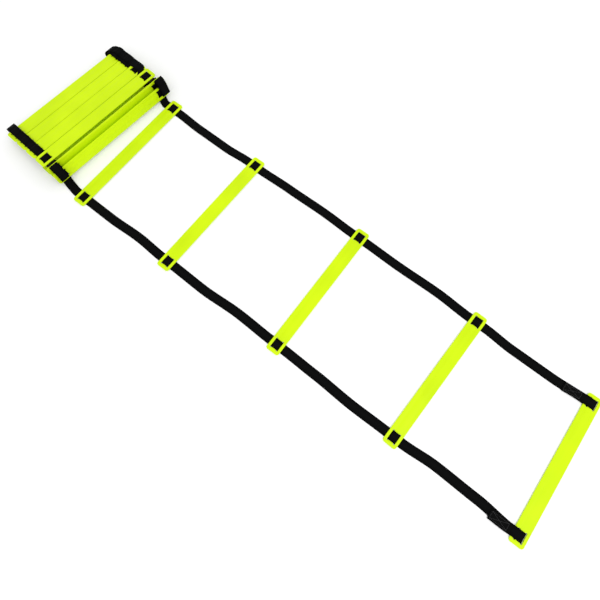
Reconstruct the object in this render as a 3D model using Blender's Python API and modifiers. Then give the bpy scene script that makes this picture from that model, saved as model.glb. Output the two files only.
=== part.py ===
"""Agility ladder: flat slotted rungs on two webbing straps, one end laid out flat and the other wound up.

Frame: +X runs along the ladder to its free end, +Y across it, +Z up. The origin is on the floor,
under the middle of the whole ladder. Lengths are in metres.
"""

import math

import bmesh
import bpy
import numpy as np
from mathutils import Matrix, Vector

MM = 0.001
INCH = 0.0254

# Straps
strap_width = 27 * MM
strap_thick = 1.5 * MM
strap_spacing = 388 * MM

# Rungs
rung_end_wall = 9 * MM
rung_width = 40 * MM
rung_thick = 2.5 * MM
rung_corner = 7 * MM
rung_edge = 0.4 * MM
slot_width = 5 * MM
slot_side_room = 2 * MM
slot_corner = 1.5 * MM
bridge_width = 14 * MM
bend_lead = 0.5 * MM

# Clearances
seat_gap = 0.3 * MM
layer_gap = 1 * MM
butt_gap = 0.3 * MM

# Lay of the flat end, from its free end inwards: how far the rungs and the straps have slipped
bay = 15 * INCH
rung_slip = [0 * MM, 19 * MM, 9.5 * MM, 4 * MM, 57.5 * MM]
rung_aside = [-6 * MM, -4 * MM, 0 * MM, -3.5 * MM, -5 * MM]
rung_turn = [math.radians(degrees) for degrees in (0.9, -1.5, 1, 0.3, 0.7)]
near_sway = [[1 * MM, 3 * MM], [-5.5 * MM, -1.5 * MM], [2 * MM, -4.8 * MM], [0 * MM, -5 * MM]]
far_sway = [[-9.8 * MM, -9.6 * MM], [1 * MM, -1.5 * MM], [2.5 * MM, 0 * MM], [-9 * MM, -9 * MM]]
sway_reach = 24 * MM
sway_steps = 10
hem_tail = 64 * MM
hem_rise = 8 * MM
hem_lead = 1 * MM
hem_aside = [-6 * MM, -2 * MM]
fold_room = 0.6 * MM

# Lay of the two rungs that lean on the roll: distance from the fifth rung, height of the middle, lean
leaning_in = [65.5 * MM, 82.2 * MM]
leaning_up = [27.7 * MM, 40 * MM]
leaning_angle = [math.radians(80), math.radians(80)]
rise_start = 12 * MM
slack_height = 9 * MM
slack_depth = 7.5 * MM
slack_side = 11.5 * MM
handle_share = 0.42
rise_handle_share = 0.2
drop_handle_share = 0.15
exit_handle_share = 0.2
rise_steps = 6
slack_steps = 6
hem_steps = 8

# The roll: a flat oval, wound from its core outwards
roll_gap = 102 * MM
core_radius = 10.5 * MM
roll_slope_share = 0.5
wind_step = 1 * MM
wind_tolerance = 0.06 * MM
rung_side_gap = 4.5 * MM
seat_in = 22.5 * MM
neighbour_run = 18 * MM

# How the rolled end lies against the flat end: turned in plan and shifted sideways
roll_turn = math.radians(-3.8)
roll_shift = 14 * MM

slot_length = strap_width + 2 * slot_side_room
rung_length = strap_spacing + slot_length + 2 * rung_end_wall
half_plate = rung_thick / 2
rung_pitch = rung_width + rung_side_gap
weave = rung_thick + strap_thick + 2 * seat_gap
seat_height = strap_thick + seat_gap + half_plate
layer_height = seat_height + weave / 2 + strap_thick / 2 + fold_room
bar_inner = bridge_width / 2 + slot_width
slot_low = bar_inner - bend_lead
slot_high = bridge_width / 2 + bend_lead

rung_x = [slip - number * bay for number, slip in enumerate(rung_slip)]
fold_x = [(a + b) / 2 for a, b in zip(rung_x, rung_x[1:])]
fold_height = [(number + 2) / 2 * layer_height for number in range(len(fold_x))]

roll_flat = 3 * rung_pitch + 2 * seat_in
roll_right = rung_x[-1] - roll_gap
roll_left = roll_right - roll_flat
roll_x = (roll_right + roll_left) / 2


def held_through_rungs(at_rungs, between):
    """[(place, value)] along the flat end: one value through each rung, and others spread over each bay."""
    stations = []
    for number, (x, value) in enumerate(zip(rung_x, at_rungs)):
        stations += [(x + sway_reach, value), (x - sway_reach, value)]
        if number < len(between):
            gap = x - rung_x[number + 1]
            count = len(between[number]) + 1
            stations += [(x - gap * (n + 1) / count, one) for n, one in enumerate(between[number])]
    return sorted(stations)


turn_stations = held_through_rungs(rung_turn, [[0]] * len(fold_x))
near_stations = held_through_rungs(rung_aside, near_sway)
far_stations = held_through_rungs(rung_aside, far_sway)


def clear_scene():
    for old in list(bpy.data.objects):
        bpy.data.objects.remove(old)


def new_collection(name):
    made = bpy.data.collections.new(name)
    bpy.context.scene.collection.children.link(made)
    return made


def plastic_material():
    made = bpy.data.materials.new("rung_yellow")
    made.use_nodes = True
    shader = made.node_tree.nodes["Principled BSDF"]
    shader.inputs["Base Color"].default_value = (0.62, 0.93, 0.01, 1)
    shader.inputs["Roughness"].default_value = 0.45
    shader.inputs["Metallic"].default_value = 0
    return made


def webbing_material():
    made = bpy.data.materials.new("strap_black")
    made.use_nodes = True
    shader = made.node_tree.nodes["Principled BSDF"]
    shader.inputs["Base Color"].default_value = (0.012, 0.012, 0.013, 1)
    shader.inputs["Roughness"].default_value = 0.85
    shader.inputs["Metallic"].default_value = 0
    return made


def add_rounded_box(curve, middle_y, length_y, width_x, radius):
    """One closed outline with round corners, as a spline of the flat curve."""
    spline = curve.splines.new("BEZIER")
    ends = []
    reach = 4 / 3 * (math.sqrt(2) - 1) * radius
    for sx, sy in ((1, 1), (-1, 1), (-1, -1), (1, -1)):
        x, y = sx * width_x / 2, middle_y + sy * length_y / 2
        on_side = (Vector((x, y - sy * radius)), Vector((0, sy * reach)))
        on_end = (Vector((x - sx * radius, y)), Vector((sx * reach, 0)))
        ends += [on_side, on_end] if sx * sy > 0 else [on_end, on_side]
    spline.bezier_points.add(len(ends) - 1)
    for number, (point, (place, handle)) in enumerate(zip(spline.bezier_points, ends)):
        first = number % 2 == 0
        point.co = place.to_3d()
        point.handle_right_type = point.handle_left_type = "FREE"
        point.handle_right = (place + handle).to_3d() if first else place.to_3d()
        point.handle_left = place.to_3d() if first else (place + handle).to_3d()
    spline.use_cyclic_u = True


def rung_outline():
    """The flat plate of every rung: a rounded strip with two strap slots through it at each end."""
    curve = bpy.data.curves.new("rung_plate", "CURVE")
    curve.dimensions = "2D"
    curve.fill_mode = "BOTH"
    curve.resolution_u = 2
    curve.extrude = half_plate - rung_edge
    curve.bevel_depth = rung_edge
    curve.bevel_resolution = 0
    curve.offset = -rung_edge
    add_rounded_box(curve, 0, rung_length, rung_width, rung_corner)
    for side in (-1, 1):
        for row in (-1, 1):
            add_rounded_box(curve, side * strap_spacing / 2, slot_length, slot_width, slot_corner)
            spline = curve.splines[-1]
            for point in spline.bezier_points:
                shift = Vector((row * (bridge_width + slot_width) / 2, 0, 0))
                point.co += shift
                point.handle_left += shift
                point.handle_right += shift
    return curve


def ribbon_object(name, route, side, material, collection):
    """A strap: its middle line drawn out to the strap's width, then given its thickness."""
    graph = bmesh.new()
    middle_y = side * strap_spacing / 2
    edges = []
    for y in (middle_y - strap_width / 2, middle_y + strap_width / 2):
        edges.append([graph.verts.new(strap_point(x, y, z, share, aside)) for x, z, share, aside in route])
    for low, high, low_next, high_next in zip(edges[0], edges[1], edges[0][1:], edges[1][1:]):
        graph.faces.new((low, low_next, high_next, high))
    mesh = bpy.data.meshes.new(name)
    graph.to_mesh(mesh)
    graph.free()
    mesh.materials.append(material)
    made = bpy.data.objects.new(name, mesh)
    collection.objects.link(made)
    thick = made.modifiers.new("thickness", "SOLIDIFY")
    thick.thickness = strap_thick
    thick.offset = 0
    thick.use_even_offset = True
    return made


def value_at(stations, x):
    """The value at x, eased from station to station."""
    places = [place for place, _ in stations]
    number = min(max(int(np.searchsorted(places, x)), 1), len(stations) - 1)
    (start, before), (end, after) = stations[number - 1 : number + 1]
    share = min(max((x - start) / (end - start), 0), 1)
    return before + (after - before) * share * share * (3 - 2 * share)


def strap_point(x, y, z, share, aside):
    """Where a strap's point lies: it sways with its strap and slips along with the turned rungs."""
    flat = 1 - share
    sway = value_at(far_stations if y > 0 else near_stations, x)
    slip = -y * math.tan(value_at(turn_stations, x))
    return laid(x + flat * slip, y + flat * sway + aside, z, share)


def laid(x, y, z, share):
    """Where a point of the rolled end lies: share is 0 on the flat end and 1 on the roll."""
    turn = Matrix.Rotation(roll_turn * share, 3, "Z")
    pivot = Vector((roll_x, 0, 0))
    return turn @ (Vector((x, y, z)) - pivot) + pivot + Vector((0, roll_shift * share, 0))


def smooth_run(start, start_way, end, end_way, steps, share=handle_share):
    """Points of one smooth bend between two places, without its first and last point."""
    reach = share * math.dist(start, end)
    a, d = np.array(start), np.array(end)
    b = a + reach * np.array(start_way)
    c = d - reach * np.array(end_way)
    points = []
    for number in range(1, steps):
        t = number / steps
        near = (1 - t) ** 3 * a + 3 * t * (1 - t) ** 2 * b
        points.append(tuple(near + 3 * t * t * (1 - t) * c + t**3 * d))
    return points


def through_rung(x, z, way):
    """The strap's middle line through a rung: under a bar, over the bridge, under the other bar.

    x, z is the plate's middle, and way is the direction that the strap runs in.
    """
    along = np.array(way)
    up = np.array((way[1], -way[0]))
    stations = [(rung_width / 2 + seat_gap, -1), (slot_low, -1), (slot_high, 1)]
    stations = [(-u, side) for u, side in stations] + [(u, side) for u, side in reversed(stations)]
    middle = np.array((x, z))
    return [tuple(middle + u * along + side * weave / 2 * up) for u, side in stations]


def level_run(start, end):
    """Points of the strap where it lies on the floor, from start to end."""
    return [(x, strap_thick / 2) for x in np.linspace(start, end, sway_steps)]


def flat_strap(rung, left_end, right_end):
    """A strap piece of the flat end, with its one rung, from right to left."""
    through = through_rung(rung, seat_height, (-1, 0))
    right, left = through[0][0], through[-1][0]
    points = [*level_run(right_end, right)[:-1], *through, *level_run(left, left_end)[1:]]
    return [(x, z, 0, 0) for x, z in points]


def end_strap(left_end, aside):
    """The strap piece at the free end: under the first rung, up through its outer slot and back on top."""
    low, high = strap_thick / 2, seat_height + weave / 2
    above = low + strap_thick + layer_gap
    rim = rung_x[0] - rung_width / 2
    bend = rung_x[0] + bridge_width / 2
    tail = rim - hem_tail
    points = [(x, z, 0, 0) for x, z in level_run(left_end, rim)]
    points.append((bend, low, 0, 0))
    for number in range(1, hem_steps):
        angle = -math.pi / 2 + math.pi * number / hem_steps
        x = bend + weave / 2 * math.cos(angle)
        points.append((x, seat_height + weave / 2 * math.sin(angle), 0, 0))
    points += [(bend, high, 0, 0), (rim - hem_lead, high, 0, 0), (rim - hem_rise, above, 0, 0)]
    for x in np.linspace(rim - hem_rise, tail, hem_steps)[1:]:
        points.append((x, above, 0, aside * (rim - x) / hem_tail))
    return points[::-1]


class Oval:
    """Places round the roll: c runs clockwise from the top's left end, and out is the way from the core."""

    arc = math.pi * core_radius * 2
    length = 2 * roll_flat + 2 * arc

    def __init__(self, middle_z):
        self.z = middle_z

    def place(self, c, out):
        """((x, z), outward direction) of the place c, that far out from the core."""
        c = c % self.length
        if c < roll_flat:
            return (roll_left + c, self.z + core_radius + out), (0, 1)
        if c < roll_flat + self.arc:
            angle = math.pi / 2 - (c - roll_flat) / self.arc * math.pi
            hub = roll_right
        elif c < 2 * roll_flat + self.arc:
            return (roll_right - (c - roll_flat - self.arc), self.z - core_radius - out), (0, -1)
        else:
            angle = -math.pi / 2 - (c - 2 * roll_flat - self.arc) / self.arc * math.pi
            hub = roll_left
        away = (math.cos(angle), math.sin(angle))
        return (hub + (core_radius + out) * away[0], self.z + (core_radius + out) * away[1]), away


def top_place(x):
    return x - roll_left


def bottom_place(x):
    return roll_flat + Oval.arc + roll_right - x


def wound_places():
    """Distance wound, from the core's start, at which each rung of the roll lies, innermost first."""
    turn = Oval.length
    spots = [
        bottom_place(roll_right - seat_in) - turn,
        top_place(roll_left + seat_in),
        top_place(roll_left + seat_in + rung_pitch) + turn,
        top_place(roll_left + seat_in + 2 * rung_pitch) + 2 * turn,
        top_place(roll_right - seat_in) + 3 * turn,
    ]
    return spots


def eased(line, spans):
    """The line raised where it would fall too steeply, and level under each rung."""
    reach = round(rung_width / wind_step)
    for _ in range(2):
        for span in spans:
            line[span] = line[span].max()
        base = line.copy()
        for steps in range(1, reach):
            fall = roll_slope_share * steps * wind_step
            line[steps:] = np.maximum(line[steps:], base[:-steps] - fall)
            line[:-steps] = np.maximum(line[:-steps], base[steps:] - fall)
    return line


def wind():
    """Lay the strap turn on turn: places wound, and how far out its middle, outside and rungs are."""
    spots = wound_places()
    start = spots[0] - seat_in
    end = spots[-1] + rung_width / 2
    wound = np.arange(start, end, wind_step)
    turn = round(Oval.length / wind_step)
    plates = [np.abs(wound - spot) <= rung_width / 2 + wind_step for spot in spots]
    bridges = [np.abs(wound - spot) <= slot_high + wind_step for spot in spots]
    surface = np.zeros(len(wound))
    for _ in range(math.ceil((end - start) / Oval.length)):
        under = np.concatenate([np.zeros(turn), surface[:-turn]])
        line = eased(under + layer_gap + strap_thick / 2, plates)
        levels = [line[plate].max() + weave / 2 for plate in plates]
        surface = line + strap_thick / 2
        for plate, bridge, level in zip(plates, bridges, levels):
            surface[plate] = level + half_plate
            surface[bridge] = level + weave / 2 + strap_thick / 2
    return wound, line, surface, levels


def thinned(points):
    """The same line with fewer points: what lies on a straight run goes."""
    kept = [points[0]]
    first = 0
    while first < len(points) - 1:
        last = first + 1
        while last + 1 < len(points):
            a, b = np.array(points[first]), np.array(points[last + 1])
            way = (b - a) / np.linalg.norm(b - a)
            between = np.array(points[first + 1 : last + 1]) - a
            off = np.abs(between[:, 0] * way[1] - between[:, 1] * way[0])
            if off.max() > wind_tolerance:
                break
            last += 1
        kept.append(points[last])
        first = last
    return kept


def rolled_route():
    """(middle line of the wound strap from its core outwards, [(place, outward direction)] of its rungs)."""
    wound, line, surface, levels = wind()
    spots = wound_places()
    round_places = wound % Oval.length
    below = (round_places > bottom_place(roll_right)) & (round_places < bottom_place(roll_left))
    oval = Oval(core_radius + surface[below].max())
    seats = [oval.place(spot, level) for spot, level in zip(spots, levels)]
    points = []
    for c, out in zip(wound, line):
        if min(abs(c - spot) for spot in spots) > rung_width / 2 + seat_gap:
            points.append((c, oval.place(c, out)[0]))
    for spot, ((x, z), away) in zip(spots, seats):
        for px, pz in through_rung(x, z, (-away[1], away[0])):
            points.append((spot + (px - x) * away[1], (px, pz)))
    return [place for _, place in sorted(points)], seats


def leaning_seats():
    """((x, z), outward direction) of the two rungs that lean on the roll."""
    seats = []
    for inwards, up, angle in zip(leaning_in, leaning_up, leaning_angle):
        seats.append(((rung_x[-1] - inwards, up), (math.sin(angle), math.cos(angle))))
    return seats


def rolled_end_route(coil, leaning):
    """The strap of the rolled end, from the last fold to the core: (x, z, share on the roll, aside)."""
    low = strap_thick / 2
    through = through_rung(rung_x[-1], seat_height, (-1, 0))
    flat = [*level_run(fold_x[-1] - butt_gap / 2, through[0][0])[:-1], *through]
    (front, front_away), (back, back_away) = leaning
    front_way = (-front_away[1], front_away[0])
    back_way = (-back_away[1], back_away[0])
    on_front = through_rung(*front, front_way)
    on_back = through_rung(*back, back_way)
    foot = (flat[-1][0] - rise_start, low)
    crest = (on_front[-1][0] - slack_side / 2, on_front[-1][1] + slack_height)
    trough = (on_back[0][0] + slack_side / 2, on_back[0][1] - slack_depth)
    outer = coil[::-1]
    points = [*flat, foot]
    points += smooth_run(foot, (-1, 0), on_front[0], front_way, rise_steps, rise_handle_share)
    points += on_front
    points += [*smooth_run(on_front[-1], front_way, crest, (-1, 0), slack_steps), crest]
    points += [*smooth_run(crest, (-1, 0), trough, (-1, 0), 2 * slack_steps, drop_handle_share), trough]
    points += [*smooth_run(trough, (-1, 0), on_back[0], back_way, slack_steps), *on_back]
    points += smooth_run(on_back[-1], back_way, outer[0], (-1, 0), slack_steps, exit_handle_share)
    points += thinned(outer)
    shares = [0] * (len(flat) + 1) + [n / rise_steps for n in range(1, rise_steps)]
    shares += [1] * (len(points) - len(shares))
    return [(x, z, share, 0) for (x, z), share in zip(points, shares)]


def least_gap(points):
    """The least clear distance between stretches of one strap that lie apart along it."""
    line = np.array(points)
    starts, ends = line[:-1], line[1:]
    run = np.concatenate([[0], np.cumsum(np.linalg.norm(ends - starts, axis=1))])
    least = math.inf
    for number, place in enumerate(line):
        way = ends - starts
        share = np.clip(((place - starts) * way).sum(1) / (way * way).sum(1), 0, 1)
        away = np.linalg.norm(place - starts - share[:, None] * way, axis=1)
        along = np.minimum(abs(run[:-1] - run[number]), abs(run[1:] - run[number]))
        least = min(least, away[along > neighbour_run].min())
    return least - strap_thick


def add_rung(number, place, away, share, curve, material, collection):
    """A rung with its middle at place, its upper face towards away."""
    made = bpy.data.objects.new(f"rung_{number:02d}", curve)
    if not curve.materials:
        curve.materials.append(material)
    collection.objects.link(made)
    made.location = laid(place[0], 0, place[1], share)
    tilt = Matrix.Rotation(math.atan2(away[0], away[1]), 3, "Y")
    made.rotation_euler = (Matrix.Rotation(roll_turn * share, 3, "Z") @ tilt).to_euler()
    return made


def add_axis(name, x, z, collection):
    made = bpy.data.objects.new(name, None)
    made.empty_display_size = rung_width
    made.location = (x, 0, z)
    collection.objects.link(made)
    return made


def carry(child, parent):
    """Parent a piece without moving it."""
    bpy.context.view_layer.update()
    child.parent = parent
    child.matrix_parent_inverse = parent.matrix_world.inverted()


def corners_of_all(pieces):
    bpy.context.view_layer.update()
    graph = bpy.context.evaluated_depsgraph_get()
    places = []
    for piece in pieces:
        ready = piece.evaluated_get(graph)
        mesh = ready.to_mesh()
        places += [ready.matrix_world @ vertex.co for vertex in mesh.vertices]
        ready.to_mesh_clear()
    table = np.array(places)
    return table.min(axis=0), table.max(axis=0)


def main():
    clear_scene()
    ladder = new_collection("agility_ladder")
    plastic, webbing = plastic_material(), webbing_material()
    plate = rung_outline()
    pieces = []
    axes = []
    for number, (x, z) in enumerate(zip(fold_x, fold_height)):
        axes.append(add_axis(f"fold_axis_{number + 1}", x, z, ladder))

    flat_rungs = []
    for number, (x, aside, turn) in enumerate(zip(rung_x, rung_aside, rung_turn)):
        rung = add_rung(number + 1, (x, seat_height), (0, 1), 0, plate, plastic, ladder)
        rung.location.y = aside
        rung.rotation_euler.z = turn
        flat_rungs.append(rung)
    panels = [[rung] for rung in flat_rungs[:-1]]
    for side, label in ((-1, "near"), (1, "far")):
        for number in range(len(fold_x)):
            left = fold_x[number] + butt_gap / 2
            if number == 0:
                route = end_strap(left, hem_aside[(side + 1) // 2])
            else:
                route = flat_strap(rung_x[number], left, fold_x[number - 1] - butt_gap / 2)
            strap = ribbon_object(f"strap_{number + 1}_{label}", route, side, webbing, ladder)
            panels[number].append(strap)

    coil, seats = rolled_route()
    leaning = leaning_seats()
    route = rolled_end_route(coil, leaning)
    gap = least_gap([(x, z) for x, z, *_ in route])
    print(f"least gap of a wound strap to itself: {gap / MM:.2f} mm")
    for side, label in ((-1, "near"), (1, "far")):
        pieces.append(ribbon_object(f"strap_5_{label}", route, side, webbing, ladder))
    pieces.append(flat_rungs[4])
    for number, (place, away) in enumerate([*leaning, *reversed(seats)]):
        pieces.append(add_rung(number + 6, place, away, 1, plate, plastic, ladder))

    everything = pieces + [piece for panel in panels for piece in panel]
    low, high = corners_of_all(everything)
    origin = add_axis("ladder", 0, 0, ladder)
    for number, panel in enumerate(panels):
        for piece in panel:
            carry(piece, axes[number])
    for inner, outer in zip(axes, axes[1:] + [origin]):
        carry(inner, outer)
    for piece in pieces:
        carry(piece, origin)
    origin.location = (-(low[0] + high[0]) / 2, -(low[1] + high[1]) / 2, -low[2])
    bpy.context.view_layer.update()
    for axis in axes:
        x, y, z = axis.matrix_world.translation
        print(f"{axis.name}: x {x:.5f}, z {z:.5f}")
    for piece in [*flat_rungs, *pieces[3:]]:
        x, y, z = piece.matrix_world.translation
        print(f"{piece.name}: x {x:.5f}, y {y:.5f}, z {z:.5f}")


main()
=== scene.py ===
# %% [markdown]
# # An agility ladder, half laid out and half rolled up
#
# The real thing is a row of flat plastic rungs threaded on two webbing straps. Each strap runs under a
# rung's outer bar, up through a slot, over the bridge in the middle, down through the second slot and on.
# The solids of the imported model hold every size and place. Here each rung and each stretch of strap is
# made again with the finer form that a camera sees; all but the floor stretches ride on the bodies of their
# solids.

# %% Load the imported model and keep its size
import math

import bpy
import numpy as np
from mathutils import Matrix, Vector


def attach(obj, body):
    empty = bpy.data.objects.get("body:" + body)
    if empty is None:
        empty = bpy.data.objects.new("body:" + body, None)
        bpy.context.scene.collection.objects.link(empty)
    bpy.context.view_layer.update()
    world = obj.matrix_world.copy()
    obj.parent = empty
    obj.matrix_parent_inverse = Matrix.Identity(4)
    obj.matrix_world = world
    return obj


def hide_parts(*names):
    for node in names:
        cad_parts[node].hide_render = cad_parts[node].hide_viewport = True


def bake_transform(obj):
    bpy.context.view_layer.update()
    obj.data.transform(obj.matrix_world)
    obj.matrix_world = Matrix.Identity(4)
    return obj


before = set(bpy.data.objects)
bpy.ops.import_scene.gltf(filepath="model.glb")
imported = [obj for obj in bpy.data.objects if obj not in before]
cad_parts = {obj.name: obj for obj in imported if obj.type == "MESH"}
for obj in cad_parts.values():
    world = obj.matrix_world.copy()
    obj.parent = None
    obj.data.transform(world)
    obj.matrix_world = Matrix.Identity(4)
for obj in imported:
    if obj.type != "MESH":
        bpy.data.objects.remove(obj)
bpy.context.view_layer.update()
bpy.ops.object.select_all(action="DESELECT")

# %% [markdown]
# ## Sizes
#
# The lay of the ladder follows a few measured sizes, so the straps are drawn by rule and not by hand.
# Lengths are in metres, x runs from the first rung (x = 0) towards the roll on the negative side, and
# ORIGIN is where the first rung's middle stands in the model's own frame.

# %% Sizes of the ladder
MM = 0.001
INCH = 0.0254
ORIGIN = Vector((0.87883, -0.00631, 0))

STRAP_WIDTH = 27 * MM
STRAP_THICK = 1.5 * MM
STRAP_SPACING = 388 * MM
RUNG_LENGTH = 437 * MM
RUNG_WIDTH = 40 * MM
RUNG_THICK = 2.5 * MM
RUNG_CORNER = 7 * MM
RUNG_EDGE = 0.5 * MM
SELVEDGE = 0.45 * MM
SLOT_WIDTH = 5 * MM
SLOT_LENGTH = 31 * MM
SLOT_CORNER = 1.5 * MM
BRIDGE_WIDTH = 14 * MM
BEND_LEAD = 0.5 * MM
SEAT_GAP = 0.3 * MM
LAYER_GAP = 1 * MM
HEM_TAIL = 64 * MM

HALF_PLATE = RUNG_THICK / 2
WEAVE = RUNG_THICK + STRAP_THICK + 2 * SEAT_GAP
SEAT_HEIGHT = STRAP_THICK + SEAT_GAP + HALF_PLATE
SLOT_LOW = BRIDGE_WIDTH / 2 + SLOT_WIDTH - BEND_LEAD
SLOT_HIGH = BRIDGE_WIDTH / 2 + BEND_LEAD
LOW = STRAP_THICK / 2

# A strap keeps straight for this far to each side of a rung's middle.
HELD = RUNG_WIDTH / 2 + 4 * MM

# The five flat rungs have slipped on the straps; SWAY is how far a strap strays inside each bay.
RUNG_SLIP = np.array([0, 19, 9.5, 4, 57.5]) * MM
RUNG_ASIDE = np.array([-6, -4, 0, -3.5, -5]) * MM
RUNG_TURN = np.radians([0.9, -1.5, 1, 0.3, 0.7])
SWAY = {
    "near": np.array([[1, 3], [-5.5, -1.5], [2, -4.8], [0, -5]]) * MM,
    "far": np.array([[-9.8, -9.6], [1, -1.5], [2.5, 0], [-9, -9]]) * MM,
}
RUNG_X = [slip - number * 15 * INCH for number, slip in enumerate(RUNG_SLIP)]
FOLD_X = [(a + b) / 2 for a, b in zip(RUNG_X, RUNG_X[1:])]
SIDES = {"near": -1, "far": 1}


def held_through_rungs(at_rungs, between):
    """[(place, value)]: one value held level through each rung, and others spread over each bay."""
    stations = []
    for number, (x, value) in enumerate(zip(RUNG_X, at_rungs)):
        stations += [(x + HELD, value), (x - HELD, value)]
        if number < len(between):
            gap = x - RUNG_X[number + 1]
            count = len(between[number]) + 1
            stations += [(x - gap * (n + 1) / count, one) for n, one in enumerate(between[number])]
    return sorted(stations)


def value_at(stations, x):
    """The value at x, eased from station to station."""
    number = min(max(int(np.searchsorted([place for place, _ in stations], x)), 1), len(stations) - 1)
    (start, before), (end, after) = stations[number - 1 : number + 1]
    share = min(max((x - start) / (end - start), 0), 1)
    return before + (after - before) * share * share * (3 - 2 * share)


TURNS = held_through_rungs(RUNG_TURN, [[0]] * 4)
SWAYS = {label: held_through_rungs(RUNG_ASIDE, SWAY[label]) for label in SIDES}

# %% [markdown]
# ## The roll, by rule
#
# The wound end is a flat oval. Each turn of strap lies on whatever is below it, keeps level where a rung
# sits, and slopes gently down again where the rung ends. Two leaning rungs join it to the flat end. The
# slack strap between them hangs over the front one in a loop, and on the far side the outermost span of
# the roll bows out over the rungs' ends.

# %% Sizes of the roll
SEAT_IN = 22.5 * MM
RUNG_PITCH = RUNG_WIDTH + 4.5 * MM
ROLL_IN = 102 * MM
ROLL_FLAT = 3 * RUNG_PITCH + 2 * SEAT_IN
ROLL_RIGHT = RUNG_X[-1] - ROLL_IN
ROLL_LEFT = ROLL_RIGHT - ROLL_FLAT
ROLL_X = (ROLL_RIGHT + ROLL_LEFT) / 2
CORE_RADIUS = 10.5 * MM
ROLL_ARC = 2 * math.pi * CORE_RADIUS
ROLL_ROUND = 2 * ROLL_FLAT + 2 * ROLL_ARC
SLOPE_SHARE = 0.5
WIND_STEP = 1 * MM
ROLL_TURN = math.radians(-3.8)
ROLL_SHIFT = 14 * MM
RISE_X = RUNG_X[-1] - RUNG_WIDTH / 2 - SEAT_GAP - 12 * MM
RISE_STEPS = 24

# How far each leaning rung stands into the roll from the fifth one, how high, and how steeply.
LEANING = [(65.5 * MM, 27.7 * MM, math.radians(80)), (82.2 * MM, 40 * MM, math.radians(80))]
OVER_RADIUS = 3.4 * MM
LOOP_RADIUS = 3 * MM
LOOP_DROP = 8 * MM
LOOP_BOW = {"near": -3 * MM, "far": 11 * MM}
CREST_BACK, CREST_UP = 5 * MM, 20.5 * MM
TROUGH_AHEAD, TROUGH_DOWN = 5.75 * MM, 7.5 * MM

# The far strap's outermost span: sideways sizes, then places along it in steps of a millimetre.
SPAN_BOW = 10.5 * MM
SPAN_DRAWN = 5 * MM
SPAN_START = 14
SPAN_RETURN = 60


def laid(x, y, z, share):
    """Where a point of the rolled end lies: share is 0 on the flat end and 1 on the roll."""
    pivot = Vector((ROLL_X, 0, 0))
    turned = Matrix.Rotation(ROLL_TURN * share, 3, "Z") @ (Vector((x, y, z)) - pivot)
    return turned + pivot + Vector((0, ROLL_SHIFT * share, 0)) + ORIGIN


def round_the_roll(c, out, middle_z):
    """The place at distance c round the oval (clockwise from the top's left end), out from its core."""
    c = c % ROLL_ROUND
    if c < ROLL_FLAT:
        return (ROLL_LEFT + c, middle_z + CORE_RADIUS + out), (0, 1)
    if c < ROLL_FLAT + ROLL_ARC:
        hub, angle = ROLL_RIGHT, math.pi / 2 - (c - ROLL_FLAT) / ROLL_ARC * math.pi
    elif c < 2 * ROLL_FLAT + ROLL_ARC:
        return (ROLL_RIGHT - (c - ROLL_FLAT - ROLL_ARC), middle_z - CORE_RADIUS - out), (0, -1)
    else:
        hub, angle = ROLL_LEFT, -math.pi / 2 - (c - 2 * ROLL_FLAT - ROLL_ARC) / ROLL_ARC * math.pi
    away = (math.cos(angle), math.sin(angle))
    return (hub + (CORE_RADIUS + out) * away[0], middle_z + (CORE_RADIUS + out) * away[1]), away


def on_top(x):
    return x - ROLL_LEFT


def below(x):
    return ROLL_FLAT + ROLL_ARC + ROLL_RIGHT - x


ROLL_SPOTS = [
    below(ROLL_RIGHT - SEAT_IN) - ROLL_ROUND,
    on_top(ROLL_LEFT + SEAT_IN),
    on_top(ROLL_LEFT + SEAT_IN + RUNG_PITCH) + ROLL_ROUND,
    on_top(ROLL_LEFT + SEAT_IN + 2 * RUNG_PITCH) + 2 * ROLL_ROUND,
    on_top(ROLL_RIGHT - SEAT_IN) + 3 * ROLL_ROUND,
]


def eased(line, spans):
    """The line raised where it would fall too steeply, and level under each rung."""
    for _ in range(2):
        for span in spans:
            line[span] = line[span].max()
        base = line.copy()
        for steps in range(1, round(RUNG_WIDTH / WIND_STEP)):
            fall = SLOPE_SHARE * steps * WIND_STEP
            line[steps:] = np.maximum(line[steps:], base[:-steps] - fall)
            line[:-steps] = np.maximum(line[:-steps], base[steps:] - fall)
    return line


def through_rung(x, z, way):
    """The strap's middle line through a rung whose middle is x, z, running towards way."""
    along, up = np.array(way), np.array((way[1], -way[0]))
    stations = [(RUNG_WIDTH / 2 + SEAT_GAP, -1), (SLOT_LOW, -1), (SLOT_HIGH, 1)]
    stations = [(-u, side) for u, side in stations] + [(u, side) for u, side in reversed(stations)]
    return [tuple(np.array((x, z)) + u * along + side * WEAVE / 2 * up) for u, side in stations]


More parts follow.
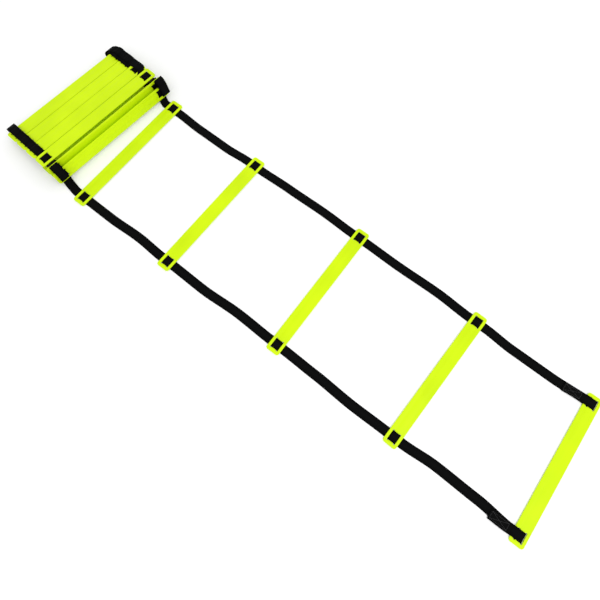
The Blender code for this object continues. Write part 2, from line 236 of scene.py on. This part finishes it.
def wound_strap():
    """(middle line from the core outwards, [(place, outward direction)] of the roll's rungs)"""
    start, end = ROLL_SPOTS[0] - SEAT_IN, ROLL_SPOTS[-1] + RUNG_WIDTH / 2
    wound = np.arange(start, end, WIND_STEP)
    turn = round(ROLL_ROUND / WIND_STEP)
    plates = [np.abs(wound - spot) <= RUNG_WIDTH / 2 + WIND_STEP for spot in ROLL_SPOTS]
    bridges = [np.abs(wound - spot) <= SLOT_HIGH + WIND_STEP for spot in ROLL_SPOTS]
    surface = np.zeros(len(wound))
    # Each pass settles one more turn, because a turn lies on the surface of the turn before it.
    for _ in range(math.ceil((end - start) / ROLL_ROUND)):
        under = np.concatenate([np.zeros(turn), surface[:-turn]])
        line = eased(under + LAYER_GAP + LOW, plates)
        levels = [line[plate].max() + WEAVE / 2 for plate in plates]
        surface = line + LOW
        for plate, bridge, level in zip(plates, bridges, levels):
            surface[plate] = level + HALF_PLATE
            surface[bridge] = level + WEAVE / 2 + LOW
    # The lowest turn rests on the floor, which sets the height of the core.
    under_side = (wound % ROLL_ROUND > below(ROLL_RIGHT)) & (wound % ROLL_ROUND < below(ROLL_LEFT))
    middle_z = CORE_RADIUS + surface[under_side].max()
    seats = [round_the_roll(spot, level, middle_z) for spot, level in zip(ROLL_SPOTS, levels)]
    points = []
    for c, out in zip(wound, line):
        if min(abs(c - spot) for spot in ROLL_SPOTS) > RUNG_WIDTH / 2 + SEAT_GAP:
            points.append((c, round_the_roll(c, out, middle_z)[0]))
    for spot, ((x, z), away) in zip(ROLL_SPOTS, seats):
        for px, pz in through_rung(x, z, (-away[1], away[0])):
            points.append((spot + (px - x) * away[1], (px, pz)))
    return [place for _, place in sorted(points)], seats


COIL, ROLL_SEATS = wound_strap()
LEANING_SEATS = [((RUNG_X[-1] - into, up), (math.sin(a), math.cos(a))) for into, up, a in LEANING]
print(f"the coil has {len(COIL)} points and {len(ROLL_SEATS)} rungs")

# %% [markdown]
# ## Helpers
#
# Colours are written as the sRGB hex values that a designer would give and turned to linear light by one
# function. A second small function adds a shader node with its settings and links.

# %% Colour and node helpers
def linear(hex_colour):
    channels = [int(hex_colour[n : n + 2], 16) / 255 for n in (1, 3, 5)]
    return tuple(c / 12.92 if c <= 0.04045 else ((c + 0.055) / 1.055) ** 2.4 for c in channels) + (1,)


def add_node(tree, kind, values=None, links=None, **settings):
    """A new node: values are set on its inputs, and links join output sockets to its inputs."""
    node = tree.nodes.new(kind)
    for name, value in settings.items():
        setattr(node, name, value)
    for name, value in (values or {}).items():
        node.inputs[name].default_value = value
    for name, source in (links or {}).items():
        tree.links.new(source, node.inputs[name])
    return node


def new_material(name):
    """(material, its node tree, its Principled shader)"""
    material = bpy.data.materials.new(name)
    material.use_nodes = True
    return material, material.node_tree, material.node_tree.nodes["Principled BSDF"]


# %% [markdown]
# ## Camera
#
# The camera stands over the near side of the ladder and looks steeply down. Its place was found by fitting
# the ten crossings of strap and rung, so it is set by numbers.

# %% Camera
camera_data = bpy.data.cameras.new("camera")
camera = bpy.data.objects.new("camera", camera_data)
bpy.context.scene.collection.objects.link(camera)
camera.location = (0.29530, -0.35365, 1.19140)
camera.rotation_euler = (math.radians(16.2655), math.radians(-1.1720), math.radians(37.7328))
camera_data.sensor_width = 36
camera_data.lens = 27.0
camera_data.clip_start = 0.01
bpy.context.scene.camera = camera
print("camera at", tuple(round(v, 3) for v in camera.location))

# %% [markdown]
# ## Floor and light
#
# A product picture on white: a white floor, an even sky and one broad lamp high on the right. What the
# camera sees of the sky is plain white, while the light that falls on the ladder stays at a level where
# each colour comes out about as it is written.

# %% Floor, world and lamps
bpy.ops.mesh.primitive_plane_add(size=12, location=(0, 0, -0.0002))
floor = bpy.context.object
floor.name = "studio_floor"
paper, tree, shader = new_material("white_paper_floor")
shader.inputs["Base Color"].default_value = linear("#FAFAFA")
shader.inputs["Roughness"].default_value = 0.9
floor.data.materials.append(paper)

world = bpy.data.worlds.new("studio")
bpy.context.scene.world = world
world.use_nodes = True
tree = world.node_tree
sky = tree.nodes["Background"]
path = add_node(tree, "ShaderNodeLightPath")
camera_or_gloss = add_node(
    tree,
    "ShaderNodeMath",
    links={0: path.outputs["Is Camera Ray"], 1: path.outputs["Is Glossy Ray"]},
    operation="MAXIMUM",
)
any_seen = add_node(
    tree,
    "ShaderNodeMath",
    links={0: camera_or_gloss.outputs[0], 1: path.outputs["Is Transmission Ray"]},
    operation="MAXIMUM",
)
strength = add_node(
    tree,
    "ShaderNodeMapRange",
    {"To Min": 0.95, "To Max": 1.0},
    {"Value": any_seen.outputs[0]},
)
sky.inputs["Color"].default_value = (1, 1, 1, 1)
tree.links.new(strength.outputs["Result"], sky.inputs["Strength"])

bpy.ops.object.light_add(type="AREA", location=(1.3, -0.7, 2.6))
lamp = bpy.context.object
lamp.name = "softbox"
lamp.data.size = 2.4
lamp.data.energy = 30
lamp.rotation_euler = (Vector((0, 0, 0)) - lamp.location).to_track_quat("-Z", "Y").to_euler()
bpy.context.scene.view_settings.view_transform = "Standard"

# %% [markdown]
# ## The rung's plastic
#
# Ladder rungs are stamped or moulded from polypropylene sheet in a fluorescent yellow-green, so that they
# show on grass. The surface is satin with a very fine grain. A slow change of tone keeps a plain plate
# from looking like a painted rectangle.

# %% Satin polypropylene, fluorescent yellow
plastic, tree, shader = new_material("satin_polypropylene_fluorescent_yellow")
where = add_node(tree, "ShaderNodeTexCoord")
tone = add_node(
    tree,
    "ShaderNodeTexNoise",
    {"Scale": 9.0, "Detail": 2.0},
    {"Vector": where.outputs["Object"]},
)
shade = add_node(tree, "ShaderNodeValToRGB", links={"Fac": tone.outputs["Fac"]})
shade.color_ramp.elements[0].position = 0.3
shade.color_ramp.elements[0].color = linear("#C4E402")
shade.color_ramp.elements[1].position = 0.7
shade.color_ramp.elements[1].color = linear("#CFEE05")
tree.links.new(shade.outputs["Color"], shader.inputs["Base Color"])
grain = add_node(
    tree,
    "ShaderNodeTexNoise",
    {"Scale": 1400.0, "Detail": 3.0},
    {"Vector": where.outputs["Object"]},
)
relief = add_node(
    tree,
    "ShaderNodeBump",
    {"Strength": 0.12, "Distance": 0.0002},
    {"Height": grain.outputs["Fac"]},
)
tree.links.new(relief.outputs["Normal"], shader.inputs["Normal"])
shader.inputs["Roughness"].default_value = 0.42
shader.inputs["IOR"].default_value = 1.49
shader.inputs["Specular IOR Level"].default_value = 0.15

# %% [markdown]
# ## The strap's webbing
#
# The straps are black polypropylene webbing: thick warp yarns run lengthwise and give about fourteen fine
# ribs across the 27 mm, and the weft crosses them aslant every 1.4 mm. The pattern follows the strap through
# every bend, so it is drawn in the strap's own UV map, where one unit is one strap width. The middle of a
# strap is painted lighter than its selvedges, a painted highlight for the light its domed middle catches.

# %% Black polypropylene webbing
webbing, tree, shader = new_material("black_polypropylene_webbing")
uv = add_node(tree, "ShaderNodeUVMap", uv_map="along_strap")
ribs = add_node(
    tree,
    "ShaderNodeTexWave",
    {"Scale": 4.4, "Distortion": 0.0},
    {"Vector": uv.outputs["UV"]},
    wave_type="BANDS",
    bands_direction="X",
)
slant = add_node(
    tree,
    "ShaderNodeMapping",
    {"Rotation": (0, 0, math.radians(35))},
    {"Vector": uv.outputs["UV"]},
)
weft = add_node(
    tree,
    "ShaderNodeTexWave",
    {"Scale": 6.0, "Distortion": 0.6, "Detail": 1.0},
    {"Vector": slant.outputs["Vector"]},
    wave_type="BANDS",
    bands_direction="Y",
)
weave = add_node(
    tree,
    "ShaderNodeMath",
    links={0: ribs.outputs["Fac"], 1: weft.outputs["Fac"]},
    operation="MULTIPLY",
)
# Painted highlight: the weave's tone is scaled from 1 in the strap's middle down to 0.2 at its selvedges, so
# the middle is painted lighter.
axes = add_node(tree, "ShaderNodeSeparateXYZ", links={"Vector": uv.outputs["UV"]})
aside = add_node(tree, "ShaderNodeMath", {1: 0.5}, {0: axes.outputs["X"]}, operation="SUBTRACT")
off_middle = add_node(tree, "ShaderNodeMath", links={0: aside.outputs[0]}, operation="ABSOLUTE")
middle = add_node(
    tree,
    "ShaderNodeMapRange",
    {"From Max": 0.5, "To Min": 1.0, "To Max": 0.2},
    {"Value": off_middle.outputs[0]},
)
weave_with_painted_highlight = add_node(
    tree,
    "ShaderNodeMath",
    links={0: weave.outputs[0], 1: middle.outputs["Result"]},
    operation="MULTIPLY",
)
shade = add_node(tree, "ShaderNodeValToRGB", links={"Fac": weave_with_painted_highlight.outputs[0]})
shade.color_ramp.elements[0].color = linear("#020202")
shade.color_ramp.elements[1].color = linear("#161719")
tree.links.new(shade.outputs["Color"], shader.inputs["Base Color"])
relief = add_node(
    tree,
    "ShaderNodeBump",
    {"Strength": 0.5, "Distance": 0.0004},
    {"Height": weave.outputs[0]},
)
tree.links.new(relief.outputs["Normal"], shader.inputs["Normal"])
shader.inputs["Roughness"].default_value = 0.8
shader.inputs["Specular IOR Level"].default_value = 0.05

# %% Sewing thread
thread, tree, shader = new_material("charcoal_polyester_thread")
shader.inputs["Base Color"].default_value = linear("#2A2A2D")
shader.inputs["Roughness"].default_value = 0.5

# %% [markdown]
# ## One rung
#
# A rung is a plate with round corners, with four slots cut through it. The plate starts as a cube drawn
# out to the plate's size, and its four upright edges are bevelled. Each slot is cut by a smaller plate made
# the same way. A last small bevel breaks all the sharp edges, as the mould does.

# %% Helpers for modelling
def only(obj):
    """Make obj the one selected and active object."""
    bpy.ops.object.select_all(action="DESELECT")
    obj.select_set(True)
    bpy.context.view_layer.objects.active = obj


def apply_all(obj):
    only(obj)
    for modifier in list(obj.modifiers):
        bpy.ops.object.modifier_apply(modifier=modifier.name)


def select_edges(obj, wanted):
    """In edit mode, select the edges that wanted(start, end) picks."""
    bpy.ops.mesh.select_all(action="DESELECT")
    bpy.ops.mesh.select_mode(type="EDGE")
    bpy.ops.object.mode_set(mode="OBJECT")
    corners = obj.data.vertices
    for edge in obj.data.edges:
        start, end = (corners[n].co for n in edge.vertices)
        edge.select = wanted(start, end)
    bpy.ops.object.mode_set(mode="EDIT")


def round_plate(name, x, y, width, length, thick, corner, steps):
    """A plate lying flat with its middle at x, y, and its upright edges rounded."""
    bpy.ops.object.select_all(action="DESELECT")
    bpy.ops.mesh.primitive_cube_add(size=1, location=(0, 0, 0))
    plate = bpy.context.object
    plate.name = name
    plate.data.name = name
    bpy.ops.object.mode_set(mode="EDIT")
    bpy.ops.mesh.select_all(action="SELECT")
    bpy.ops.transform.resize(value=(width, length, thick), center_override=(0, 0, 0))
    select_edges(plate, lambda start, end: abs(start.z - end.z) > thick / 2)
    bpy.ops.mesh.bevel(offset=corner, segments=steps, affect="EDGES")
    bpy.ops.mesh.select_all(action="SELECT")
    bpy.ops.transform.translate(value=(x, y, 0))
    bpy.ops.object.mode_set(mode="OBJECT")
    return plate


def make_rung():
    """The pattern rung, lying at the origin with its upper face up."""
    rung = round_plate("rung_pattern", 0, 0, RUNG_WIDTH, RUNG_LENGTH, RUNG_THICK, RUNG_CORNER, 10)
    for side in (-1, 1):
        for row in (-1, 1):
            x = row * (BRIDGE_WIDTH + SLOT_WIDTH) / 2
            y = side * STRAP_SPACING / 2
            cutter = round_plate("slot_cutter", x, y, SLOT_WIDTH, SLOT_LENGTH, 4 * RUNG_THICK, SLOT_CORNER, 6)
            cut = rung.modifiers.new("slot", "BOOLEAN")
            cut.operation = "DIFFERENCE"
            cut.object = cutter
            only(rung)
            bpy.ops.object.modifier_apply(modifier=cut.name)
            bpy.data.objects.remove(cutter)
    edge = rung.modifiers.new("edges", "BEVEL")
    edge.width = RUNG_EDGE
    edge.segments = 3
    edge.limit_method = "ANGLE"
    edge.angle_limit = math.radians(50)
    apply_all(rung)
    bpy.ops.object.shade_smooth_by_angle(angle=math.radians(35))
    rung.data.materials.clear()
    rung.data.materials.append(plastic)
    return rung


pattern = make_rung()
print("one rung:", len(pattern.data.polygons), "faces, size", tuple(round(v, 4) for v in pattern.dimensions))

# %% [markdown]
# ## Twelve rungs in their places
#
# Five lie flat, two lean on the roll and five are wound into it. Each copy gets its own mesh, turned and
# moved in the mesh itself, so that the object stays at the origin. The four rungs that can slip along the
# straps ride on bodies of their own.

# %% Place the rungs
def flat_matrix(x, aside, turn):
    """The matrix that lays a rung flat, slipped aside and turned a little."""
    place = laid(x, 0, SEAT_HEIGHT, 0) + Vector((0, aside, 0))
    return Matrix.Translation(place) @ Matrix.Rotation(turn, 4, "Z")


def rolled_matrix(place, away):
    """The matrix that seats a rung of the roll with its upper face towards away."""
    tilt = Matrix.Rotation(math.atan2(away[0], away[1]), 4, "Y")
    return Matrix.Translation(laid(place[0], 0, place[1], 1)) @ Matrix.Rotation(ROLL_TURN, 4, "Z") @ tilt


seats = [flat_matrix(*lay) for lay in zip(RUNG_X, RUNG_ASIDE, RUNG_TURN)]
seats += [rolled_matrix(place, away) for place, away in LEANING_SEATS + ROLL_SEATS[::-1]]
rung_body = {1: "panel_1", 2: "rung_2", 3: "rung_3", 4: "rung_4", 5: "rung_5"}
for number, seat in enumerate(seats, 1):
    slat = bpy.data.objects.new(f"slat_{number:02d}", pattern.data.copy())
    bpy.context.scene.collection.objects.link(slat)
    slat.data.transform(seat)
    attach(slat, rung_body.get(number, "rolled_end"))
    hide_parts(f"rung_{number:02d}")
bpy.data.objects.remove(pattern)
print("placed", len(seats), "rungs")

# %% [markdown]
# ## The straps' routes
#
# A route is the strap's middle line seen from the side. The corners of a route are softened, because
# webbing cannot turn sharply: the line is cut into one millimetre steps and each point is drawn a little
# towards its neighbours.

# %% Routes seen from the side
def even_steps(points, step):
    """The same line cut into even steps."""
    line = np.array(points, float)
    run = np.concatenate([[0], np.cumsum(np.linalg.norm(np.diff(line[:, :2], axis=0), axis=1))])
    count = max(2, round(run[-1] / step) + 1)
    at = np.linspace(0, run[-1], count)
    return np.stack([np.interp(at, run, line[:, n]) for n in range(line.shape[1])], axis=1)


def softened(points, passes=3):
    """Round the corners of a line of (x, z, share, aside) points."""
    line = even_steps(points, 1 * MM)
    for _ in range(passes):
        line[1:-1] = (line[:-2] + 2 * line[1:-1] + line[2:]) / 4
    return line


def smooth_run(start, start_way, end, end_way, steps, share):
    """Points of one smooth bend between two places, without its first and last point."""
    reach = share * math.dist(start, end)
    a, d = np.array(start), np.array(end)
    b = a + reach * np.array(start_way)
    c = d - reach * np.array(end_way)
    places = []
    for number in range(1, steps):
        t = number / steps
        near = (1 - t) ** 3 * a + 3 * t * (1 - t) ** 2 * b
        places.append(tuple(near + 3 * t * t * (1 - t) * c + t**3 * d))
    return places


def hem_points(left_end, skew):
    """From the sewn tail over the first rung's bridge, down through its outer slot and back beneath."""
    bend, rim, high = BRIDGE_WIDTH / 2, -RUNG_WIDTH / 2, SEAT_HEIGHT + WEAVE / 2
    second = LOW + STRAP_THICK + LAYER_GAP
    points = [(rim - HEM_TAIL, second, 0, skew), (rim - HEM_TAIL / 8, second, 0, skew / 8)]
    points += [(rim - 1 * MM, high, 0, 0), (bend, high, 0, 0)]
    for number in range(1, 16):
        angle = math.pi / 2 - math.pi * number / 16
        x = bend + WEAVE / 2 * math.cos(angle)
        points.append((x, SEAT_HEIGHT + WEAVE / 2 * math.sin(angle), 0, 0))
    return [*points, (bend, LOW, 0, 0), (left_end, LOW, 0, 0)]


def half_ring(along, out, radius, up):
    """Half a ring at the front leaning rung, round a place along that rung and out from its face."""
    (x, z), (away_x, away_z) = LEANING_SEATS[0]
    places = []
    for angle in np.linspace(0, math.pi, 9):
        u, v = along + up * radius * math.sin(angle), out - radius * math.cos(angle)
        places.append((x - u * away_z + v * away_x, z + u * away_x + v * away_z))
    return places


def rolled_points(bow):
    """From where the strap leaves the floor to the core, through the leaning rungs and round the roll.

    The slack between the two leaning rungs hangs over the front one in a loop, bowed sideways.
    """
    (front, front_away), (back, back_away) = LEANING_SEATS
    front_way, back_way = (-front_away[1], front_away[0]), (-back_away[1], back_away[0])
    on_front, on_back = through_rung(*front, front_way), through_rung(*back, back_way)
    foot = (RISE_X, LOW)
    rim = RUNG_WIDTH / 2 + SEAT_GAP
    # The loop first falls this far out from the rung's middle plane, in front of its bridge.
    hung = 2 * OVER_RADIUS - WEAVE / 2
    over = half_ring(rim, hung - OVER_RADIUS, OVER_RADIUS, 1)
    under = half_ring(-LOOP_DROP, hung + LOOP_RADIUS, LOOP_RADIUS, -1)
    back_up = half_ring(rim, hung + LOOP_RADIUS, LOOP_RADIUS, 1)[-1]
    crest = (on_front[-1][0] - CREST_BACK, on_front[-1][1] + CREST_UP)
    trough = (on_back[0][0] + TROUGH_AHEAD, on_back[0][1] - TROUGH_DOWN)
    left = (-1, 0)
    outer = COIL[::-1]
    rise = smooth_run(foot, left, on_front[0], front_way, RISE_STEPS, 0.2)
    loop = [*over, *under, back_up, *smooth_run(back_up, front_way, crest, left, 12, 0.42), crest]
    loop += [*smooth_run(crest, left, trough, left, 24, 0.15), trough]
    points = [foot, *rise, *on_front, *loop]
    points += [*smooth_run(trough, left, on_back[0], back_way, 12, 0.42), *on_back]
    points += [*smooth_run(on_back[-1], back_way, outer[0], left, 12, 0.2), *outer]
    shares = [0] + [(n + 1) / RISE_STEPS for n in range(len(rise))]
    shares += [1] * (len(points) - len(shares))
    asides = np.zeros(len(points))
    start = 1 + len(rise) + len(on_front)
    asides[start : start + len(loop)] = bow * np.minimum(1, 2 * np.sin(np.linspace(0, math.pi, len(loop))))
    return [(x, z, share, aside) for (x, z), share, aside in zip(points, shares, asides)]


def bowed_out(line):
    """The same line with the roll's slack outer span bowed out over the rungs' ends, then drawn inwards."""
    bowed = line.copy()
    last_x = ROLL_SEATS[-1][0][0]
    # The span starts at the outermost rung, and the turn is where the roll ends on the left.
    first = int(np.argmax(line[:, 0] < last_x - RUNG_WIDTH / 2 - SEAT_GAP))
    turn = int(line[:, 0].argmin())
    widest, end = (first + 2 * turn) / 3, turn + SPAN_RETURN
    stations = [(first, 0), (first + SPAN_START, SPAN_BOW), (widest, SPAN_BOW), (turn, -SPAN_DRAWN), (end, 0)]
    bowed[first:end, 3] = [value_at(stations, step) for step in range(first, end)]
    return bowed


rolled = {label: softened(rolled_points(LOOP_BOW[label])) for label in SIDES}
print(f"rolled end of a strap: {len(rolled['near'])} mm")

# %% [markdown]
# ## Laying a strap
#
# A strap starts as a flat grid primitive with one row of points for each step of its route. The rows are
# then laid along the route, the grid gets its 1.5 mm thickness from Solidify and its soft selvedge from a
# bevel. The UV map holds the distance along and across the strap, in strap widths.

# %% Lay one piece of strap
ACROSS = 8


def strap_piece(name, middles, sideways):
    """A piece of webbing whose middle line and sideways direction are given, one row each."""
    count = len(middles)
    bpy.ops.object.select_all(action="DESELECT")
    bpy.ops.mesh.primitive_grid_add(x_subdivisions=ACROSS, y_subdivisions=count - 1, size=1)
    strap = bpy.context.object
    strap.name = strap.data.name = name
    grid = np.array([v.co for v in strap.data.vertices])
    column = np.round((grid[:, 0] + 0.5) * ACROSS).astype(int)
    row = np.round((grid[:, 1] + 0.5) * (count - 1)).astype(int)
    across = (column / ACROSS - 0.5) * STRAP_WIDTH
    places = middles[row] + across[:, None] * sideways[row]
    strap.data.vertices.foreach_set("co", places.ravel())
    run = np.concatenate([[0], np.cumsum(np.linalg.norm(np.diff(middles, axis=0), axis=1))]) - middles[0][0]
    layer = strap.data.uv_layers[0]
    layer.name = "along_strap"
    corners = np.empty(len(strap.data.loops), int)
    strap.data.loops.foreach_get("vertex_index", corners)
    flat = np.stack([column[corners] / ACROSS, run[row[corners]] / STRAP_WIDTH], axis=1)
    layer.uv.foreach_set("vector", flat.astype(np.float32).ravel())
    thick = strap.modifiers.new("thickness", "SOLIDIFY")
    thick.thickness = STRAP_THICK
    thick.offset = 0
    soft = strap.modifiers.new("selvedge", "BEVEL")
    soft.width = SELVEDGE
    soft.segments = 2
    soft.limit_method = "ANGLE"
    soft.angle_limit = math.radians(60)
    apply_all(strap)
    bpy.ops.object.shade_smooth_by_angle(angle=math.radians(50))
    strap.data.materials.append(webbing)
    return strap


def laid_rows(line, label):
    """(middle points, sideways directions) of a route on one side of the ladder.

    The strap sways to its own side, and slips along with each turned rung.
    """
    middles, sideways = [], []
    for x, z, share, skew in line:
        y = SIDES[label] * STRAP_SPACING / 2
        lean = (share - 1) * math.tan(value_at(TURNS, x))
        sway = (1 - share) * value_at(SWAYS[label], x)
        middles.append(laid(x + y * lean, y + sway + skew, z, share))
        sideways.append(Matrix.Rotation(ROLL_TURN * share, 3, "Z") @ Vector((lean, 1, 0)))
    return np.array(middles), np.array(sideways)


# %% [markdown]
# ## The flat straps, one stretch at a time
#
# Where the ladder folds, the webbing has to bend, and where a rung slips, its weave has to go with it. So
# each strap is made of stretches that meet end to end: a short one at each fold, one on each side of a
# rung, and the weave itself, which rides on the rung.

# %% Flat stretches and weaves
FOLD_HALF, FOLD_STEP = 3 * MM, 0.4 * MM
HEM_SKEW = {"near": -6 * MM, "far": -2 * MM}


def giving_stretch(name, label, x_from, x_to, step=2 * MM):
    """A stretch of strap on the floor that runs from x_from to x_to."""
    middles, sideways = laid_rows(even_steps([(x_from, LOW, 0, 0), (x_to, LOW, 0, 0)], step), label)
    piece = strap_piece(name, middles, sideways)
    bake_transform(piece)


for label in SIDES:
    hem = softened(hem_points(FOLD_X[0] + FOLD_HALF, HEM_SKEW[label]))
    hem_piece = strap_piece(f"webbing_{label}_hem", *laid_rows(hem, label))
    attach(hem_piece, "panel_1")
    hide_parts(f"strap_1_{label}")
    for number in range(4):
        outer, rung = f"panel_{number + 1}", f"rung_{number + 2}"
        x, edge = RUNG_X[number + 1], RUNG_WIDTH / 2 + SEAT_GAP
        right, left = FOLD_X[number] + FOLD_HALF, FOLD_X[number] - FOLD_HALF
        end = RISE_X if number == 3 else FOLD_X[number + 1] + FOLD_HALF
        giving_stretch(f"webbing_{label}_fold_{number + 1}", label, right, left, FOLD_STEP)
        giving_stretch(f"webbing_{label}_to_{rung}", label, left, x + edge)
        giving_stretch(f"webbing_{label}_from_{rung}", label, x - edge, end)
        woven = softened([(px, pz, 0, 0) for px, pz in through_rung(x, SEAT_HEIGHT, (-1, 0))])
        woven_piece = strap_piece(f"webbing_{label}_weave_{number + 2}", *laid_rows(woven, label))
        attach(woven_piece, rung)
        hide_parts(f"strap_{number + 2}_{label}")
    wound = bowed_out(rolled[label]) if label == "far" else rolled[label]
    coil_piece = strap_piece(f"webbing_{label}_roll", *laid_rows(wound, label))
    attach(coil_piece, "rolled_end")
    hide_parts(f"strap_5_{label}")

# %% [markdown]
# ## The stitches of the two hems
#
# The free ends are folded back through the first rung and sewn down with a box of stitches and a cross in
# it. Each stitch is a short bead of thread, half sunk in the webbing.

# %% Sew the hems
SEAM_HEAD, SEAM_TAIL, SEAM_HALF = -34 * MM, -80 * MM, 9 * MM
STITCH_PITCH = 4 * MM
STITCH_RADII = (1.5 * MM, 0.4 * MM, 0.3 * MM)


def on_hem(label, x, across):
    """The place on top of a hem's tail, at x and at a distance across from its middle."""
    skew = HEM_SKEW[label] * (-RUNG_WIDTH / 2 - x) / HEM_TAIL
    y = SIDES[label] * STRAP_SPACING / 2 + value_at(SWAYS[label], x) + skew + across
    lean = -math.tan(value_at(TURNS, x))
    return laid(x + y * lean, y, 2 * STRAP_THICK + LAYER_GAP, 0)


bpy.ops.object.select_all(action="DESELECT")
bpy.ops.mesh.primitive_uv_sphere_add(segments=8, ring_count=6, radius=1, location=(0, 0, 0))
bead = bpy.context.object
bead.data.transform(Matrix.Diagonal((*STITCH_RADII, 1)))
bead.data.materials.append(thread)
bpy.ops.object.shade_smooth()
for label in SIDES:
    corners = [(SEAM_HEAD, -SEAM_HALF), (SEAM_TAIL, -SEAM_HALF)]
    corners += [(SEAM_TAIL, SEAM_HALF), (SEAM_HEAD, SEAM_HALF)]
    seams = [*zip(corners, corners[1:] + corners[:1]), (corners[0], corners[2]), (corners[1], corners[3])]
    stitches = []
    for (x1, a1), (x2, a2) in seams:
        start, end = on_hem(label, x1, a1), on_hem(label, x2, a2)
        count = round((end - start).length / STITCH_PITCH)
        turn = Matrix.Rotation(math.atan2(end.y - start.y, end.x - start.x), 4, "Z")
        for number in range(count):
            share = (number + 0.5) / count
            stitch = bpy.data.objects.new("stitch", bead.data.copy())
            bpy.context.scene.collection.objects.link(stitch)
            place = on_hem(label, x1 + (x2 - x1) * share, a1 + (a2 - a1) * share)
            stitch.data.transform(Matrix.Translation(place) @ turn)
            stitches.append(stitch)
    only(stitches[0])
    for stitch in stitches:
        stitch.select_set(True)
    bpy.ops.object.join()
    stitches[0].name = stitches[0].data.name = f"stitches_{label}"
    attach(stitches[0], "panel_1")
bpy.data.objects.remove(bead)
